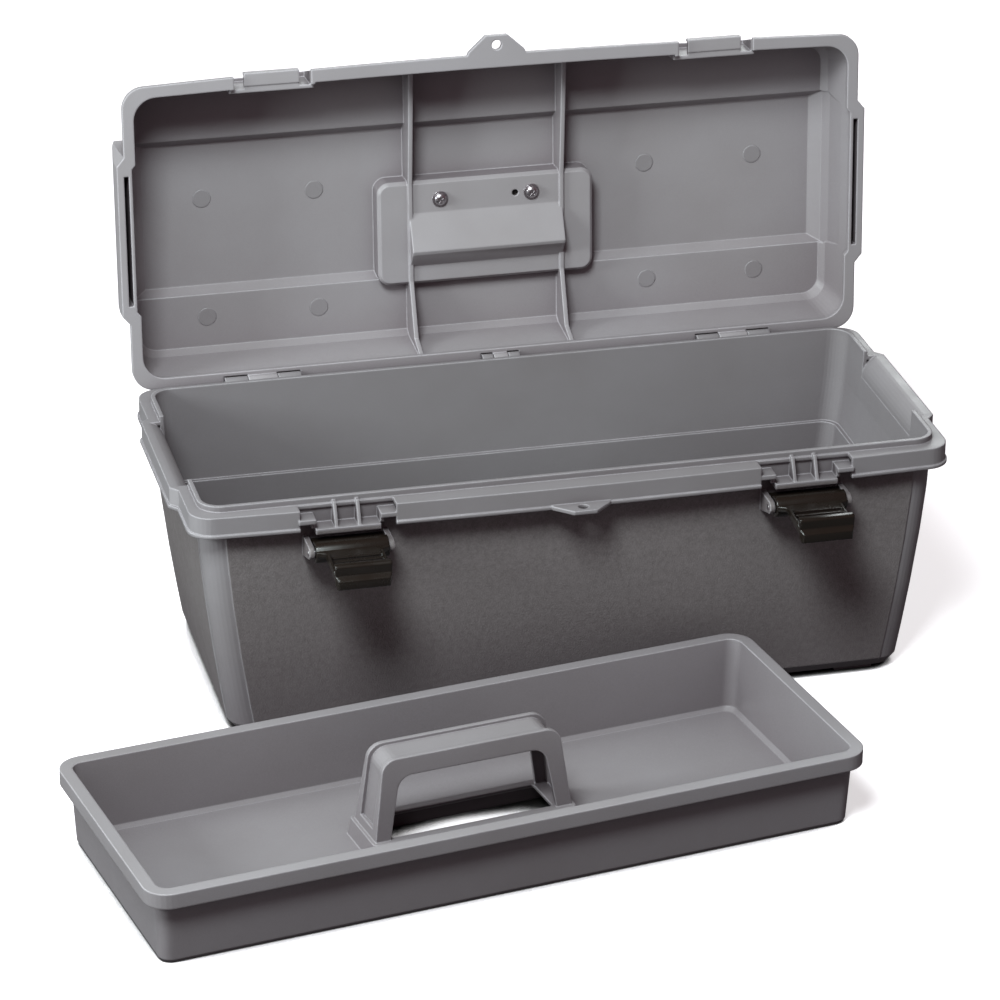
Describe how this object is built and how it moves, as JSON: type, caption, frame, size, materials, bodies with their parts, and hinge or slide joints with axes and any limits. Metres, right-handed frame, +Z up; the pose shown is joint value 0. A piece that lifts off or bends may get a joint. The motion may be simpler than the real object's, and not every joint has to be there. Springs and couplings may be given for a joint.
{
  "type": "tool box",
  "caption": "Moulded plastic tool box with a hinged lid, draw latches, a folding carry handle and a lift-out tray.",
  "frame": {"origin": "on the floor under the middle of the box body", "axes": "+X along the box's length, +Y towards the hinge side, +Z up"},
  "size_m": [0.6137, 0.5426, 0.3895],
  "materials": {
    "body_plastic": "fine grain",
    "tray_plastic": "fine grain",
    "latch_plastic": "satin black",
    "steel": "zinc plated"
  },
  "bodies": {
    "box": {"body_shell": "body_plastic", "hinge_pin_left": "steel", "hinge_pin_centre": "steel", "hinge_pin_right": "steel", "latch_pin_left": "steel", "latch_pin_right": "steel"},
    "lid": {"lid_shell": "body_plastic", "handle_bracket": "latch_plastic", "handle_screws": "steel", "handle_washers": "steel"},
    "left_latch": {"latch_left": "latch_plastic"},
    "right_latch": {"latch_right": "latch_plastic"},
    "handle": {"carry_handle": "latch_plastic"},
    "tray": {"lift_out_tray": "tray_plastic"}
  },
  "joints": [
    {"name": "lid_hinge", "type": "hinge", "parent": "box", "child": "lid", "pos_m": [0, 0.105, 0.1628], "axis": [1, 0, 0], "range_deg": [0, 94]},
    {"name": "latch_left_pivot", "type": "hinge", "parent": "box", "child": "left_latch", "pos_m": [-0.152, -0.115, 0.1385], "axis": [-1, 0, 0], "range_deg": [0, 96]},
    {"name": "latch_right_pivot", "type": "hinge", "parent": "box", "child": "right_latch", "pos_m": [0.152, -0.115, 0.1385], "axis": [-1, 0, 0], "range_deg": [0, 96]},
    {"name": "carry_handle_fold", "type": "hinge", "parent": "lid", "child": "handle", "pos_m": [0, 0.15802, 0.26736], "axis": [1, 0, 0], "range_deg": [0, 90]},
    {"name": "tray_lift", "type": "slide", "parent": "box", "child": "tray", "axis": [0, 0, 1], "range_m": [0, 0.3]}
  ]
}
